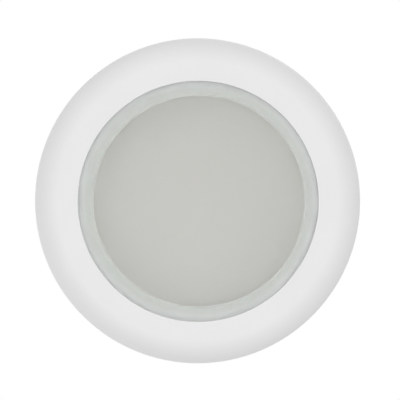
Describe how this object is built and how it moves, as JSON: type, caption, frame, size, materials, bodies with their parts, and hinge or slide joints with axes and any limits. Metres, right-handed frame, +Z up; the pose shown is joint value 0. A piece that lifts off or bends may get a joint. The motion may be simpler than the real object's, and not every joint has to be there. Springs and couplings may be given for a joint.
{
  "type": "soffit downlight",
  "caption": "Recessed round soffit downlight: twist-off white bezel, frosted glass, finned body, sprung board clips and a wiring box with a hinged lid.",
  "frame": {"origin": "on the lamp's axis, in the plane of the soffit's underside, where the hole is cut", "axes": "+Z up into the roof space along the lamp's axis, the light shines towards -Z, +X through the spring clips, +Y towards the cable inlet"},
  "size_m": [0.09, 0.09, 0.0725],
  "materials": {
    "bezel_white": "fine satin white powder coat",
    "frosted_glass": "clear face, sandblasted back",
    "pale_silicone": "moulded translucent white silicone",
    "zinc_steel": "bright zinc plate",
    "bright_screw": "nickel plated",
    "grey_foam": "closed-cell foam",
    "housing_white": "satin white powder coat on a die casting",
    "reflector_white": "matt white polycarbonate",
    "holder_plastic": "matt white plastic",
    "led_board": "white solder mask on aluminium",
    "phosphor": "pale yellow phosphor in silicone",
    "thermal_grey": "filled silicone pad",
    "lead_red": "silicone insulation",
    "lead_black": "silicone insulation",
    "lead_brown": "silicone insulation",
    "lead_blue": "silicone insulation",
    "dark_silicone": "moulded silicone",
    "cast_heatsink": "bare die casting, as cast",
    "spring_steel": "stainless, stamped",
    "box_plastic": "fine spark-eroded texture",
    "circuit_board": "green solder mask",
    "ferrite": "sintered ferrite and tape",
    "capacitor_sleeve": "shrink sleeve",
    "chip_black": "moulded epoxy",
    "terminal_white": "moulded polyamide",
    "terminal_steel": "zinc plate"
  },
  "bodies": {
    "root": {"glass_lens": "frosted_glass", "lens_gasket": "pale_silicone", "lens_retaining_ring": "zinc_steel", "clip_bracket_right": "zinc_steel", "clip_bracket_left": "zinc_steel", "retaining_ring_screws": "bright_screw", "led_holder_screws": "bright_screw", "heatsink_screws": "bright_screw", "clip_bracket_screw_right": "bright_screw", "clip_bracket_screw_left": "bright_screw", "terminal_box_screws": "bright_screw", "driver_cover_screws": "bright_screw", "cable_clamp_screws": "bright_screw", "clip_pin_right": "bright_screw", "clip_pin_left": "bright_screw", "lid_hinge_pin": "bright_screw", "soffit_gasket": "grey_foam", "front_housing": "housing_white", "reflector": "reflector_white", "led_holder": "holder_plastic", "led_substrate": "led_board", "led_phosphor": "phosphor", "thermal_pad": "thermal_grey", "lead_positive": "lead_red", "lead_negative": "lead_black", "supply_wire_live": "lead_brown", "supply_wire_neutral": "lead_blue", "lead_grommet": "dark_silicone", "cable_grommet": "dark_silicone", "heatsink_o_ring": "dark_silicone", "heatsink": "cast_heatsink", "clip_spring_right": "spring_steel", "clip_spring_left": "spring_steel", "terminal_box": "box_plastic", "driver_cover": "box_plastic", "driver_board": "circuit_board", "driver_transformer": "ferrite", "driver_choke": "ferrite", "driver_capacitor": "capacitor_sleeve", "driver_chip": "chip_black", "terminal_block": "terminal_white", "cable_clamp": "terminal_white", "terminal_screws": "terminal_steel"},
    "bezel": {"bezel": "bezel_white"},
    "clip_right": {"clip_arm_right": "spring_steel", "clip_pad_right": "dark_silicone"},
    "clip_left": {"clip_arm_left": "spring_steel", "clip_pad_left": "dark_silicone"},
    "terminal_lid": {"terminal_lid": "box_plastic"}
  },
  "joints": [
    {"name": "bezel_twist", "type": "hinge", "parent": "root", "child": "bezel", "pos_m": [0, 0, 0], "axis": [0, 0, 1], "range_deg": [0, 18]},
    {"name": "clip_right_swing", "type": "hinge", "parent": "root", "child": "clip_right", "pos_m": [0.032, 0, 0.026], "axis": [0, -1, 0], "range_deg": [0, 161], "stiffness_Nm_per_rad": 0.02, "springref_deg": -45.84, "deforming": ["clip_spring_right"]},
    {"name": "clip_left_swing", "type": "hinge", "parent": "root", "child": "clip_left", "pos_m": [-0.032, 0, 0.026], "axis": [0, 1, 0], "range_deg": [0, 161], "stiffness_Nm_per_rad": 0.02, "springref_deg": -45.84, "deforming": ["clip_spring_left"]},
    {"name": "lid_swing", "type": "hinge", "parent": "root", "child": "terminal_lid", "pos_m": [0, 0.0046, 0.0621], "axis": [1, 0, 0], "range_deg": [0, 110]}
  ]
}
